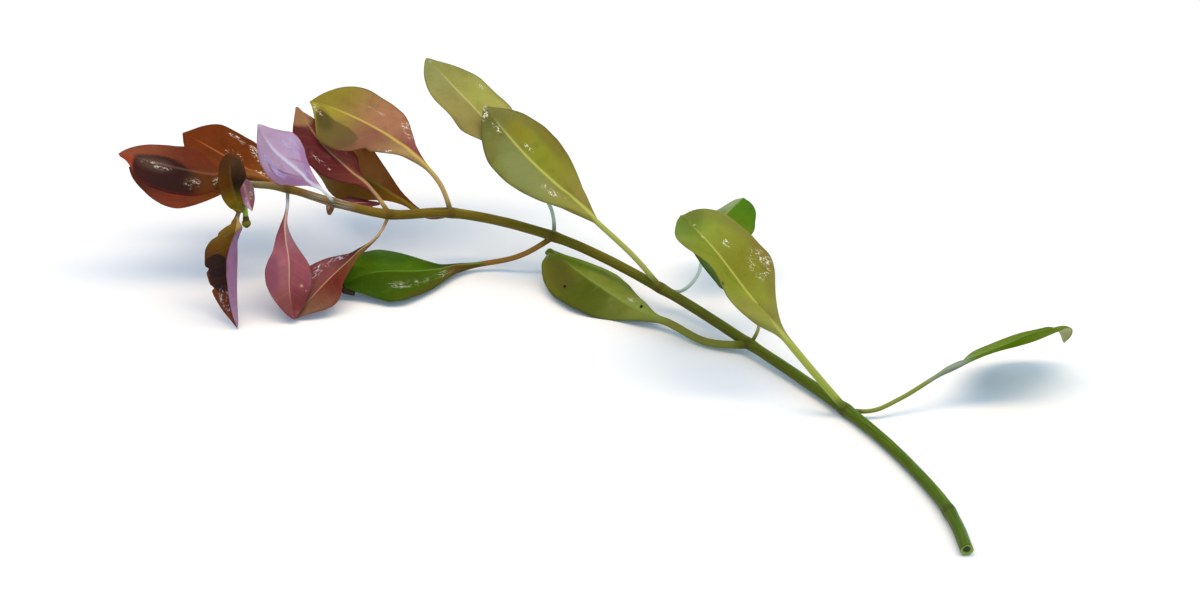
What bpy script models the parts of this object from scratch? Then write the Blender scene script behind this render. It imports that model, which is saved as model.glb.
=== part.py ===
"""One cut stem of Ludwigia repens, an aquarium plant, lying on a flat surface.

The stem runs along the surface from its cut end, bends, and rises slowly to a tip that hooks over.
Leaves grow in pairs at its nodes. Some stand up and lean back, some lie on the surface, and those
near the tip hang down to it, so the plant rests on its cut end, two low leaves and three leaf tips.

X runs along the plant with the shoot tip at -X, Y runs away from the viewer and Z is up. Lengths in
the lists are millimetres and angles are degrees. The model itself is in metres.
"""

import math
from collections import namedtuple

import bpy
from mathutils import Matrix, Vector

COLLECTION_NAME = "ludwigia_repens"
MM = 0.001
GAP = 0.35  # between neighbouring pieces, mm
TO_ORIGIN = Vector((0.0, -1.1, 0.0))  # takes the middle of the plant's box to the origin, mm

# The stem: places along its centre line and the radius there. A leaf pair grows at each node.
StemPlace = namedtuple("StemPlace", "name centre radius is_node")
STEM = [
    StemPlace("cut_end", (61.0, -54.4, 1.05), 1.05, False),
    StemPlace("bare_node", (59.3, -44.3, 1.2), 1.05, True),
    StemPlace("bend_low", (54.0, -30.7, 1.05), 1.0, False),
    StemPlace("bend_high", (49.5, -22.2, 1.1), 1.0, False),
    StemPlace("node_1", (45.0, -15.3, 1.2), 1.05, True),
    StemPlace("node_2", (29.5, 4.5, 1.8), 0.98, True),
    StemPlace("node_3", (14.0, 19.0, 4.5), 0.95, True),
    StemPlace("node_4", (-5.5, 31.5, 8.0), 0.93, True),
    StemPlace("node_5", (-24.5, 35.0, 11.0), 0.93, True),
    StemPlace("node_6", (-35.5, 31.0, 13.0), 0.88, True),
    StemPlace("node_7", (-45.5, 31.0, 15.5), 0.82, True),
    StemPlace("node_8", (-54.0, 32.5, 17.5), 0.75, True),
    StemPlace("hook", (-58.5, 33.0, 18.0), 0.68, False),
    StemPlace("node_9", (-62.0, 33.5, 17.5), 0.6, True),
    StemPlace("apex", (-62.0, 31.0, 15.5), 0.5, False),
]
STEM_STATION = 3.5  # spacing of the rings along the stem, mm
STEM_BEVEL_RESOLUTION = 3
NODE_SWELLING = 0.12  # share of the radius by which a node is thicker

# The leaves. petiole is its radius and its length. blade is its width and where it is widest, as a
# share of its length. fullness is that of the tip half, lower being fuller, and of the base half,
# higher being more drawn out. roll turns the blade about its midrib at the base, middle and tip.
# fold lifts the right and the left half from flat. route is the midrib, after the leaf's start.
Leaf = namedtuple("Leaf", "name node petiole blade fullness roll fold colour route")
LEAVES = [
    Leaf("leaf_1_left", "node_1", (0.8, 15), (16.5, 0.5), (1.1, 1.8), (-35, 10, -25), (35, 25),
         (140, 145, 50), [(38, -13, 8.5), (33, -8.5, 13.5), (28, -3.5, 17.5), (21.5, 4, 23), (17, 11.5, 24)]),
    Leaf("leaf_1_right", "node_1", (0.5, 14.5), (14.5, 0.55), (0.6, 1.9), (-32, -25, -20), (10, -8),
         (85, 120, 25), [(49.5, -15.8, 1.5), (54, -14.4, 2.9), (63, -10.8, 6.9), (71.5, -6, 7.6), (79, -2.6, 8.9),
                         (82.5, -1.1, 8.4), (83.7, -1.4, 6.1)]),
    Leaf("leaf_2_front", "node_2", (0.7, 17.5), (13.5, 0.6), (0.7, 1.6), (-30, -10, 5), (-25, -20),
         (85, 105, 40), [(22, 6.5, 1), (15, 11.5, 2), (12, 13.5, 2), (1, 23, 4), (-6.5, 33, 4.5)]),
    Leaf("leaf_2_back", "node_2", (0.45, 8), (14, 0.3), (0.7, 3), (-5, 5, -15), (20, 30),
         (95, 125, 40), [(31, 5.5, 5.5), (29, 6.5, 9), (24, 10.5, 14), (18.5, 19.5, 17.5)]),
    Leaf("leaf_3_front", "node_3", (0.6, 16.5), (13, 0.6), (1.1, 1.2), (-15, -25, -30), (5, 5),
         (128, 138, 60), [(9.5, 21, 9.5), (2.5, 25.5, 14.5), (-3.5, 30.5, 18), (-10, 36.5, 21.5),
                          (-18.5, 47, 27)]),
    Leaf("leaf_3_back", "node_3", (0.4, 10.5), (13, 0.5), (0.6, 2), (0, -5, -10), (-15, -20),
         (95, 135, 45), [(17.2, 18.4, 4.3), (19.3, 19.5, 7.5), (22.5, 25.5, 12), (29.5, 36, 13.5)]),
    Leaf("leaf_4_front", "node_4", (0.5, 14.5), (13, 0.7), (0.9, 2.2), (-15, -25, -40), (-20, 10),
         (60, 110, 15), [(-12, 32, 3.5), (-19, 32.5, 1.5), (-29.5, 29, 2), (-39.5, 26, 2.5),
                         (-43.5, 24.5, 2)]),
    Leaf("leaf_4_back", "node_4", (0.4, 14.5), (14, 0.55), (1.1, 2), (-5, 0, 5), (0, 10),
         (150, 155, 80), [(-5.5, 32.5, 11), (-6, 34, 12.5), (-11.5, 38.5, 19), (-18.5, 47, 24),
                          (-23.5, 50.5, 28), (-29.5, 56.5, 32)]),
    Leaf("leaf_5_front", "node_5", (0.45, 8.5), (16, 0.75), (1.1, 1.8), (-25, -25, -20), (-10, 10),
         (155, 120, 55), [(-26.5, 35, 17.5), (-30.5, 36, 22), (-38.5, 44.5, 23.5), (-48.5, 49, 26),
                          (-51, 49.5, 26.5)]),
    Leaf("leaf_5_back", "node_5", (0.55, 6), (13.5, 0.6), (0.8, 2.6), (-50, -60, -85), (5, -5),
         (90, 62, 20), [(-28.5, 35.5, 10), (-33.5, 38, 12), (-39.5, 42, 14), (-50, 51, 15.5),
                        (-55, 54.5, 15.5)]),
    Leaf("leaf_6_upper", "node_6", (0.5, 3.5), (13, 0.5), (0.6, 3.4), (0, 5, 25), (-10, -5),
         (105, 50, 45), [(-38.5, 36, 14.5), (-44, 39, 18.5), (-48.5, 41.5, 22), (-53, 45.5, 27.5)]),
    Leaf("leaf_6_hanging", "node_6", (0.45, 3.5), (11.5, 0.7), (1.1, 2.6), (-10, -10, -10), (15, 20),
         (150, 75, 70), [(-37.5, 28.5, 10), (-41.5, 26.5, 7), (-46.5, 23.5, 3.5), (-51.5, 16.5, 0.3)]),
    Leaf("leaf_7_upper", "node_7", (0.45, 4.5), (11, 0.55), (0.6, 2.2), (90, 95, 95), (0, 0),
         (180, 150, 195), [(-47, 27.5, 20), (-52, 30.5, 23), (-56, 33, 25.5), (-59, 36, 29)]),
    Leaf("leaf_7_under", "node_7", (0.4, 1), (5, 0.55), (0.9, 2.5), (0, 0, -5), (5, 5),
         (165, 70, 90), [(-46.5, 31.5, 13), (-46.5, 33, 13.5), (-44, 34.5, 13), (-37.5, 37.5, 11.5)]),
    Leaf("leaf_8_back", "node_8", (0.4, 4), (14, 0.6), (0.7, 1.3), (10, 5, -5), (15, 10),
         (125, 55, 30), [(-57, 35.6, 17), (-63, 40.4, 17.5), (-69, 43.4, 19.7), (-74.5, 45.9, 21.8)]),
    Leaf("leaf_8_hanging", "node_8", (0.4, 3), (9, 0.6), (0.9, 2.2), (-25, -20, -10), (5, -5),
         (155, 85, 95), [(-54, 31, 15), (-54.5, 27.5, 12), (-53.5, 23, 8), (-53, 17.5, 4), (-52, 14, 1)]),
    Leaf("leaf_9_upper", "node_9", (0.4, 0), (11, 0.55), (0.6, 1.6), (-30, -25, -15), (-5, -5),
         (145, 70, 58), [(-63.2, 34.6, 19), (-67, 32.5, 20.3), (-72.5, 31.5, 22), (-81.5, 32.5, 24),
                        (-84, 32, 25)]),
    Leaf("leaf_9_lower", "node_9", (0.4, 2), (10.5, 0.55), (0.9, 1.6), (-80, -75, -60), (30, 10),
         (125, 55, 45), [(-63, 35, 16.8), (-66.5, 34.5, 16.8), (-72.5, 35.5, 17.3), (-80, 36.5, 18.7),
                        (-83.5, 37.5, 19.2)]),
    Leaf("leaf_9_hanging", "apex", (0.4, 3.5), (11.5, 0.4), (1.1, 2.4), (-30, 0, 20), (10, 100),
         (120, 75, 70), [(-62.9, 28.4, 14.1), (-62.8, 25.5, 13.2), (-62.5, 22, 11), (-62.5, 17.5, 5.5),
                         (-62, 12, 0.3)]),
    Leaf("tip_leaf_olive", "apex", (0.35, 0.6), (6.5, 0.5), (0.8, 1.2), (-80, -65, -60), (10, 15),
         (115, 105, 45), [(-62.1, 28.5, 16.7), (-62.4, 27.7, 18.6), (-63, 29.3, 21.5), (-64, 33, 24)]),
    Leaf("tip_leaf_pink", "node_9", (0.3, 0), (3.6, 0.4), (1, 1.8), (25, 25, 20), (10, 10),
         (160, 95, 95), [(-62.3, 32.6, 19), (-61.2, 32, 19.2), (-60.1, 30.5, 17.7), (-59.8, 28, 15.5)]),
]
PETIOLE_STATION = 3.0  # spacing of the rings along a petiole, mm
BLADE_STATIONS = 13
HALF_THICKNESS = (0.26, 0.17)  # of a blade at its midrib and half way to its edge, mm
LEAVING = (1.35, 1.1)  # how far a petiole first goes out of the stem and on along its own way, in its radii

# The bud that hangs from the end of the stem: distance along it and radius.
BUD_START, BUD_END = (-61.7, 30.3, 14.6), (-61.0, 28.6, 11.6)
BUD_PROFILE = [(0.0, 0.35), (0.15, 0.48), (0.35, 0.4), (0.5, 0.58), (0.72, 0.64), (0.9, 0.45), (1.0, 0.18)]

STEM_COLOUR = (80, 92, 28)
BUD_COLOUR = (70, 85, 30)


def plain_colour(red, green, blue):
    """A screen colour from 0 to 255 as the linear colour a material takes."""
    return tuple(((c / 255 + 0.055) / 1.055) ** 2.4 for c in (red, green, blue)) + (1.0,)


def material(name, colour, roughness):
    finish = bpy.data.materials.new(name)
    finish.use_nodes = True
    shader = finish.node_tree.nodes["Principled BSDF"]
    shader.inputs["Base Color"].default_value = plain_colour(*colour)
    shader.inputs["Roughness"].default_value = roughness
    shader.inputs["Metallic"].default_value = 0.0
    return finish


class Route:
    """A smooth curve through points, read by its length."""

    SAMPLES = 24  # in each span
    SPACING_POWER = 0.75  # under 1, a short span keeps its curve away from the long ones beside it

    def __init__(self, points):
        points = [Vector(p) for p in points]
        knots = [0.0]
        for a, b in zip(points, points[1:]):
            knots.append(knots[-1] + (b - a).length ** self.SPACING_POWER)
        slopes = [(b - a) / (k1 - k0) for a, b, k0, k1 in zip(points, points[1:], knots, knots[1:])]
        tangents = [None] * len(points)
        for i in range(1, len(points) - 1):
            before, after = knots[i] - knots[i - 1], knots[i + 1] - knots[i]
            tangents[i] = (slopes[i - 1] * after + slopes[i] * before) / (before + after)
        tangents[0] = 1.5 * slopes[0] - 0.5 * tangents[1]
        tangents[-1] = 1.5 * slopes[-1] - 0.5 * tangents[-2]
        self.points = []
        for i, (a, b) in enumerate(zip(points, points[1:])):
            width = knots[i + 1] - knots[i]
            for step in range(self.SAMPLES):
                t = step / self.SAMPLES
                self.points.append((2 * t**3 - 3 * t**2 + 1) * a + (t**3 - 2 * t**2 + t) * width * tangents[i]
                                   + (3 * t**2 - 2 * t**3) * b + (t**3 - t**2) * width * tangents[i + 1])
        self.points.append(points[-1])
        self.lengths = [0.0]
        for a, b in zip(self.points, self.points[1:]):
            self.lengths.append(self.lengths[-1] + (b - a).length)
        self.length = self.lengths[-1]
        self.knot_lengths = self.lengths[::self.SAMPLES]

    def at(self, length):
        length = min(max(length, 0.0), self.length)
        i = 1
        while i < len(self.points) - 1 and self.lengths[i] < length:
            i += 1
        share = (length - self.lengths[i - 1]) / (self.lengths[i] - self.lengths[i - 1])
        return self.points[i - 1].lerp(self.points[i], share)

    def direction(self, length):
        step = self.length / 200
        return (self.at(length + step) - self.at(length - step)).normalized()


def tube(name, stations, bevel_resolution, finish, collection):
    """A round piece along stations, a list of centre and radius in millimetres."""
    curve = bpy.data.curves.new(name, "CURVE")
    curve.dimensions = "3D"
    curve.bevel_depth = MM
    curve.bevel_resolution = bevel_resolution
    curve.use_fill_caps = True
    spline = curve.splines.new("POLY")
    spline.points.add(len(stations) - 1)
    for point, (centre, radius) in zip(spline.points, stations):
        point.co = (*((centre + TO_ORIGIN) * MM), 1.0)
        point.radius = radius
    curve.materials.append(finish)
    piece = bpy.data.objects.new(name, curve)
    collection.objects.link(piece)
    return piece


def make_stem(collection):
    route = Route([place.centre for place in STEM])
    stations = []
    for i, (here, there) in enumerate(zip(STEM, STEM[1:])):
        start, end = route.knot_lengths[i], route.knot_lengths[i + 1]
        steps = max(1, round((end - start) / STEM_STATION))
        for step in range(steps):
            share = step / steps
            radius = here.radius + (there.radius - here.radius) * share
            if step == 0 and here.is_node:
                radius *= 1 + NODE_SWELLING
            stations.append((route.at(start + (end - start) * share), radius))
    stations.append((Vector(STEM[-1].centre), STEM[-1].radius))
    tube("stem", stations, STEM_BEVEL_RESOLUTION, material("stem_green", STEM_COLOUR, 0.3), collection)
    return route


def leaf_start(leaf, stem_route):
    """Where a petiole leaves the stem: just off its surface, on the side that the leaf grows to."""
    index = [place.name for place in STEM].index(leaf.node)
    place = STEM[index]
    along = stem_route.direction(stem_route.knot_lengths[index])
    towards = Vector(leaf.route[0]) - Vector(place.centre)
    out = (towards - towards.dot(along) * along).normalized()
    swelling = 1 + NODE_SWELLING if place.is_node else 1
    start = Vector(place.centre) + out * (place.radius * swelling + GAP)
    ahead = (Vector(leaf.route[0]) - start).normalized()
    return [start, start + leaf.petiole[0] * (LEAVING[0] * out + LEAVING[1] * ahead)]


def blade_share(x, leaf):
    """Half width at x along the blade, as a share of the widest."""
    widest = leaf.blade[1]
    tip_fullness, base_fullness = leaf.fullness
    if x < widest:
        return math.sin(math.pi / 2 * x / widest) ** base_fullness
    t = (x - widest) / (1 - widest)
    return (1 - t * t) ** tip_fullness


def between(values, x):
    """Base, middle and tip values, read at x."""
    base, middle, tip = values
    return base + (middle - base) * 2 * x if x < 0.5 else middle + (tip - middle) * (2 * x - 1)


def leaf_section(leaf, route, length):
    """Eight points round the leaf: the right edge, over the top to the left edge, and back below."""
    radius, petiole_length = leaf.petiole
    x = (length - petiole_length) / (route.length - petiole_length)
    on_blade = max(x, 0.0)
    spread = min(4 * on_blade, 1.0)
    centre, along = route.at(length), route.direction(length)
    level = (Vector((0, 0, 1)) - along.z * along).normalized()
    normal = Matrix.Rotation(math.radians(between(leaf.roll, on_blade)), 3, along) @ level
    side = along.cross(normal)
    widening = blade_share(on_blade, leaf) if x > 0 else 0
    half = radius * (1 - on_blade**4) + (leaf.blade[0] / 2 - radius) * widening
    taper = min(1.0, half / (2 * radius)) if x > 0 else 1
    rib = (radius + (HALF_THICKNESS[0] - radius) * spread) * taper
    round_share = math.sqrt(0.5)
    middle_share = round_share + (0.5 - round_share) * spread
    middle_rise = (radius * round_share * (1 - spread) + HALF_THICKNESS[1] * spread) * taper
    edges, walls = [], []
    for sign, fold in zip((1, -1), leaf.fold):
        angle = math.radians(fold * spread)
        edges.append(half * (sign * math.cos(angle) * side + math.sin(angle) * normal))
        walls.append(middle_rise * (math.cos(angle) * normal - sign * math.sin(angle) * side))
    right, left = edges
    right_wall, left_wall = walls
    rib_wall = rib * (right_wall + left_wall).normalized()
    return [centre + right, centre + middle_share * right + right_wall, centre + rib_wall,
            centre + middle_share * left + left_wall, centre + left,
            centre + middle_share * left - left_wall, centre - rib_wall,
            centre + middle_share * right - right_wall]


def make_leaf(leaf, stem_route, collection):
    """A leaf as one loft, from its round petiole through the thin blade to a point."""
    route = Route(leaf_start(leaf, stem_route) + leaf.route)
    petiole_length = leaf.petiole[1]
    petiole_steps = max(1, math.ceil(petiole_length / PETIOLE_STATION))
    lengths = [petiole_length * step / petiole_steps for step in range(petiole_steps)]
    for step in range(BLADE_STATIONS):
        even = step / BLADE_STATIONS
        eased = (1 - math.cos(math.pi * even)) / 2
        lengths.append(petiole_length + (route.length - petiole_length) * (even + eased) / 2)
    points = []
    for length in lengths:
        points += leaf_section(leaf, route, length)
    tip = len(points)
    points.append(Vector(leaf.route[-1]))
    faces = [tuple(range(8))]
    for ring in range(len(lengths) - 1):
        for i in range(8):
            a, b = ring * 8 + i, ring * 8 + (i + 1) % 8
            faces.append((a, a + 8, b + 8, b))
    last = (len(lengths) - 1) * 8
    faces += [(last + (i + 1) % 8, last + i, tip) for i in range(8)]
    mesh = bpy.data.meshes.new(leaf.name)
    mesh.from_pydata([(p + TO_ORIGIN) * MM for p in points], [], faces)
    mesh.shade_smooth()
    mesh.materials.append(material(leaf.name + "_green", leaf.colour, 0.35))
    piece = bpy.data.objects.new(leaf.name, mesh)
    collection.objects.link(piece)
    return piece


def make_bud(collection):
    start, end = Vector(BUD_START), Vector(BUD_END)
    stations = [(start.lerp(end, share), radius) for share, radius in BUD_PROFILE]
    return tube("tip_bud", stations, 2, material("bud_green", BUD_COLOUR, 0.35), collection)


for item in list(bpy.data.objects):
    bpy.data.objects.remove(item, do_unlink=True)
plant = bpy.data.collections.new(COLLECTION_NAME)
bpy.context.scene.collection.children.link(plant)
stem_line = make_stem(plant)
for one_leaf in LEAVES:
    make_leaf(one_leaf, stem_line, plant)
make_bud(plant)
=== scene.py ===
"""Ludwigia repens, an aquarium plant: one cut stem lying wet on a pale surface.

It is put together from the cut end to the shoot tip: the stem, the leaves node by node, the young
leaves and the bud, and then the surface, the light and the camera. Lengths in the lists are
millimetres, angles are degrees and colours are screen colours from 0 to 255. TO_ORIGIN moves the
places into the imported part's frame, and the plant itself is in metres.
"""

import math

import bpy
from mathutils import Matrix, Vector, noise


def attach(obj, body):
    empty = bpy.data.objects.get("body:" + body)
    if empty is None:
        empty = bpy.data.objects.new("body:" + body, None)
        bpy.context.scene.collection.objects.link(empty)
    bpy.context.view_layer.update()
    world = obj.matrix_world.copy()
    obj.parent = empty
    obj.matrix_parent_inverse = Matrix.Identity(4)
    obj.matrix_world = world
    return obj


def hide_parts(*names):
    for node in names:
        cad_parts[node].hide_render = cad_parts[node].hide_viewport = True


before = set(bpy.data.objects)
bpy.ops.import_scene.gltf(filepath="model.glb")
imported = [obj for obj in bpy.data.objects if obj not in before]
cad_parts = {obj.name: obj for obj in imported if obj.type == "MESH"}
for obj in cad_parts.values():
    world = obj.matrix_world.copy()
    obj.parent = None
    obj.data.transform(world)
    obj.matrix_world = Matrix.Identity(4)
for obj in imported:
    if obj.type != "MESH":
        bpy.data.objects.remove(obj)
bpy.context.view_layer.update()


# The stem: a soft, wet, round stalk, dark green at its cut end and browner towards the tip, with a
# ring at each node where a pair of leaves grows. It is a sheet rolled into a tube along its route,
# welded at the seam and closed at both ends, with the cut end sunk in a little.
MM = 0.001
TO_ORIGIN = Vector((0.0, -1.1, 0.0))
LOWEST = 0.02  # height of the plant's lowest points, just clear of the surface
NODE_SWELLING = 0.12  # share of the radius by which a node is thicker
STEM = [  # each place's name, centre and radius
    ("cut_end", (61.0, -54.4, 1.05), 1.05),
    ("bare_node", (59.3, -44.3, 1.2), 1.05),
    ("bend_low", (54.0, -30.7, 1.05), 1.0),
    ("bend_high", (49.5, -22.2, 1.1), 1.0),
    ("node_1", (45.0, -15.3, 1.2), 1.05),
    ("node_2", (29.5, 4.5, 1.8), 0.98),
    ("node_3", (14.0, 19.0, 4.5), 0.95),
    ("node_4", (-5.5, 31.5, 8.0), 0.93),
    ("node_5", (-24.5, 35.0, 11.0), 0.93),
    ("node_6", (-35.5, 31.0, 13.0), 0.88),
    ("node_7", (-45.5, 31.0, 15.5), 0.82),
    ("node_8", (-54.0, 32.5, 17.5), 0.75),
    ("hook", (-58.5, 33.0, 18.0), 0.68),
    ("node_9", (-62.0, 33.5, 17.5), 0.6),
    ("apex", (-62.0, 31.0, 15.5), 0.5),
]
PLAIN_PLACES = ("cut_end", "bend_low", "bend_high", "hook", "apex")  # no ring there
STEM_NAMES = [place[0] for place in STEM]
STEM_COLOURS = [(0.0, (66, 98, 4)), (0.2, (70, 100, 4)), (0.45, (92, 98, 8)), (0.62, (106, 96, 10)),
                (0.8, (118, 93, 16)), (0.92, (134, 96, 34)), (1.0, (164, 158, 120))]


class Route:
    """A smooth curve through points, read by its length."""

    SAMPLES = 24
    SPACING_POWER = 0.75

    def __init__(self, points):
        points = [Vector(p) for p in points]
        knots = [0.0]
        for a, b in zip(points, points[1:]):
            knots.append(knots[-1] + (b - a).length ** self.SPACING_POWER)
        slopes = [(b - a) / (k1 - k0) for a, b, k0, k1 in zip(points, points[1:], knots, knots[1:])]
        tangents = [None] * len(points)
        for i in range(1, len(points) - 1):
            before, after = knots[i] - knots[i - 1], knots[i + 1] - knots[i]
            tangents[i] = (slopes[i - 1] * after + slopes[i] * before) / (before + after)
        tangents[0] = 1.5 * slopes[0] - 0.5 * tangents[1]
        tangents[-1] = 1.5 * slopes[-1] - 0.5 * tangents[-2]
        self.points = []
        for i, (a, b) in enumerate(zip(points, points[1:])):
            width = knots[i + 1] - knots[i]
            for step in range(self.SAMPLES):
                t = step / self.SAMPLES
                self.points.append((2 * t**3 - 3 * t**2 + 1) * a + (t**3 - 2 * t**2 + t) * width * tangents[i]
                                   + (3 * t**2 - 2 * t**3) * b + (t**3 - t**2) * width * tangents[i + 1])
        self.points.append(points[-1])
        self.lengths = [0.0]
        for a, b in zip(self.points, self.points[1:]):
            self.lengths.append(self.lengths[-1] + (b - a).length)
        self.length = self.lengths[-1]
        self.knot_lengths = self.lengths[::self.SAMPLES]

    def at(self, length):
        """The place that far along the curve."""
        if length < 0:
            return self.points[0] + length * self.direction(0)
        i = 1
        while i < len(self.points) - 1 and self.lengths[i] < length:
            i += 1
        share = (length - self.lengths[i - 1]) / (self.lengths[i] - self.lengths[i - 1])
        return self.points[i - 1].lerp(self.points[i], min(share, 1.0))

    def direction(self, length):
        """Which way the curve runs there."""
        step = self.length / 200
        low, high = max(length - step, 0.0), min(max(length, 0.0) + step, self.length)
        return (self.at(high) - self.at(low)).normalized()


def smooth(value, low, high):
    """0 below low, 1 above high, and a soft step between."""
    t = min(max((value - low) / (high - low), 0.0), 1.0)
    return t * t * (3 - 2 * t)


def read(pairs, x):
    """A value read softly from (x, value) pairs."""
    for (x0, y0), (x1, y1) in zip(pairs, pairs[1:]):
        if x < x1:
            return y0 + (y1 - y0) * smooth(x, x0, x1)
    return pairs[-1][1]


def square_to(ahead, upright=(0, 0, 1)):
    """The two directions square to the one ahead, sideways and up."""
    side = ahead.cross(Vector(upright)).normalized()
    return side, side.cross(ahead)


def screen(colour):
    """A screen colour from 0 to 255 as the linear colour that light takes."""
    return tuple(((c / 255 + 0.055) / 1.055) ** 2.4 for c in colour) + (1.0,)


class Link:
    """One output in a finish's nodes. Sums on it add Math nodes."""

    def __init__(self, finish, socket):
        self.finish = finish
        self.socket = socket

    def maths(self, operation, first, second):
        return self.finish.node("ShaderNodeMath", {"operation": operation}, {0: first, 1: second})

    def __add__(self, other):
        return self.maths("ADD", self, other)

    def __sub__(self, other):
        return self.maths("SUBTRACT", self, other)

    def __rsub__(self, other):
        return self.maths("SUBTRACT", other, self)

    def __mul__(self, other):
        return self.maths("MULTIPLY", self, other)

    def __abs__(self):
        return self.maths("ABSOLUTE", self, 0.0)

    __radd__ = __add__
    __rmul__ = __mul__


class Finish:
    """The nodes of one surface. node() adds any of them and gives back one of its outputs."""

    VECTOR, NUMBER = 1, 2  # outputs of an Attribute node
    OBJECT_PLACE = 3  # output of a Texture Coordinate node

    def __init__(self, name):
        self.material = bpy.data.materials.new(name)
        self.material.use_nodes = True
        self.tree = self.material.node_tree
        self.tree.nodes.clear()

    def node(self, kind, settings, values, output=0):
        made = self.tree.nodes.new(kind)
        for key, setting in settings.items():
            if key == "stops":
                self.set_stops(made.color_ramp, setting)
            else:
                setattr(made, key, setting)
        for key, value in values.items():
            if isinstance(value, Link):
                self.tree.links.new(value.socket, made.inputs[key])
            else:
                made.inputs[key].default_value = value
        return Link(self, made.outputs[output]) if made.outputs else None

    def set_stops(self, ramp, stops):
        ramp.interpolation = "EASE"
        for _ in range(len(stops) - len(ramp.elements)):
            ramp.elements.new(0.5)
        for element, (position, colour) in zip(ramp.elements, stops):
            element.position = position
            element.color = screen(colour)

    def parts(self, vector):
        """The three numbers of a vector."""
        whole = self.node("ShaderNodeSeparateXYZ", {}, {0: vector}).socket.node
        return [Link(self, output) for output in whole.outputs]

    def mix(self, under, over, share):
        """One colour over another. A Mix node's colours are its sockets 6 and 7 and its output 2."""
        return self.node("ShaderNodeMix", {"data_type": "RGBA"}, {0: share, 6: under, 7: over}, output=2)

    def paint(self, under, tone, share):
        """A screen colour laid over another."""
        return self.mix(under, screen(tone), share)

    def step(self, value, low, high):
        """0 at low and before it, 1 at high and past it, and a soft step between."""
        return self.node("ShaderNodeMapRange", {"interpolation_type": "SMOOTHSTEP"},
                         {"Value": value, "From Min": low, "From Max": high})

    def ramp(self, value, stops):
        return self.node("ShaderNodeValToRGB", {"stops": stops}, {0: value})

    def attribute(self, name, output):
        return self.node("ShaderNodeAttribute", {"attribute_name": name}, {}, output=output)

    def soft_noise(self, place, scale, detail):
        """Soft noise from 0 to 1."""
        return self.node("ShaderNodeTexNoise", {}, {"Vector": place, "Scale": scale, "Detail": detail})

    def grain(self, size):
        """Soft noise from 0 to 1 with grains of that size in mm."""
        place = self.node("ShaderNodeTexCoord", {}, {}, output=self.OBJECT_PLACE)
        return self.soft_noise(place, 1 / (size * MM), 3.0)

    def bent(self, height, tall):
        """The surface bent by a height from 0 to 1, that tall in mm."""
        return self.node("ShaderNodeBump", {}, {"Height": height, "Distance": tall * MM})

    def skin(self, colour, roughness, normal, gloss):
        return self.node("ShaderNodeBsdfPrincipled", {},
                         {"Base Color": colour, "Roughness": roughness, "Normal": normal,
                          "Specular IOR Level": gloss})

    def done(self, shader):
        self.node("ShaderNodeOutputMaterial", {}, {"Surface": shader})
        return self.material


def new_sheet(name, columns, rows):
    """A flat grid, 1 by 1 about the origin, alone selected."""
    bpy.ops.object.select_all(action="DESELECT")
    bpy.ops.mesh.primitive_grid_add(x_subdivisions=columns, y_subdivisions=rows, size=1)
    sheet = bpy.context.object
    sheet.name = name
    sheet.data.name = name
    return sheet


def close_tube():
    """Welds the selected sheet's seam, closes its two ends and turns its faces outwards."""
    bpy.ops.object.mode_set(mode="EDIT")
    bpy.ops.mesh.select_all(action="SELECT")
    bpy.ops.mesh.remove_doubles(threshold=1e-6)
    bpy.ops.mesh.select_all(action="DESELECT")
    bpy.ops.mesh.select_non_manifold()
    bpy.ops.mesh.fill_holes(sides=0)
    bpy.ops.mesh.select_all(action="SELECT")
    bpy.ops.mesh.normals_make_consistent(inside=False)
    bpy.ops.object.mode_set(mode="OBJECT")
    bpy.ops.object.shade_smooth()


def make_stem(route):
    """The stem with its rings, soft ridges between them and a dished cut end. cut_face is the share
    of the radius and the depth at each of that end's rows, from its middle out."""
    sides, rows = 28, 420
    cut_face = [(0.05, 0.32), (0.5, 0.3), (0.8, 0.18), (0.94, 0.03)]
    ridges, ridge_height = 4, 0.035
    ring_length = 1.3
    unevenness, uneven_length = 0.03, 3
    rings = [length for (name, _, _), length in zip(STEM, route.knot_lengths) if name not in PLAIN_PLACES]
    radii = [(length, radius) for (_, _, radius), length in zip(STEM, route.knot_lengths)]
    stem = new_sheet("stem_fine", sides, rows)
    stem_place = stem.data.attributes.new("stem_place", "FLOAT_VECTOR", "POINT")
    for vertex in stem.data.vertices:
        turn = 2 * math.pi * (vertex.co.x + 0.5)
        row = round((vertex.co.y + 0.5) * rows)
        length = route.length * max(row - len(cut_face), 0) / (rows - len(cut_face))
        ring = math.exp(-(min(abs(length - place) for place in rings) / ring_length) ** 2)
        radius = read(radii, length) * (1 + NODE_SWELLING * ring)
        radius *= 1 + ridge_height * (1 - ring) * math.cos(ridges * turn)
        uneven_place = Vector((math.cos(turn), math.sin(turn), length / uneven_length))
        radius *= 1 + unevenness * noise.noise(uneven_place)
        centre, ahead = route.at(length), route.direction(length)
        side, up = square_to(ahead)
        if row < len(cut_face):
            share, depth = cut_face[row]
            radius *= share
            centre = centre + depth * ahead
            length = share - 1
        stem_place.data[vertex.index].vector = (turn, length, ring)
        point = centre + TO_ORIGIN + radius * (math.cos(turn) * side + math.sin(turn) * up)
        point.z = max(point.z, LOWEST)
        vertex.co = point * MM
    close_tube()
    return stem


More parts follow.
